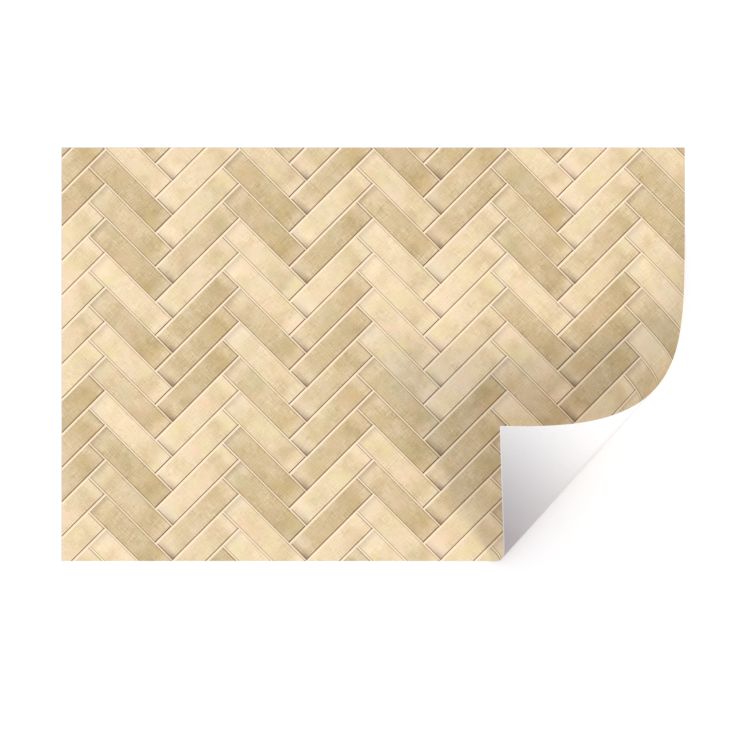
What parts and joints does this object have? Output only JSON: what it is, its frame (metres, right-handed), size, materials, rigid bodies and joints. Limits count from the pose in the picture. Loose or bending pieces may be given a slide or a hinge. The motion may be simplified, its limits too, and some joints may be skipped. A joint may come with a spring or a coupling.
{
  "type": "peel and stick backsplash sheet",
  "caption": "Rectangular peel and stick backsplash sheet with a printed herringbone tile face and a white back, lying face up with one corner peeled over.",
  "frame": {"origin": "centre of the bounding box at the underside of the flat sheet", "axes": "+Z out of the printed face, +X along the long edges towards the peeled corner, +Y along the short edges away from it"},
  "size_m": [0.6, 0.3983, 0.1076],
  "materials": {
    "printed_face": "satin printed vinyl, cream and sand herringbone",
    "white_back": "smooth white release paper"
  },
  "bodies": {
    "root": {"backsplash_sheet": "printed_face"}
  },
  "joints": []
}
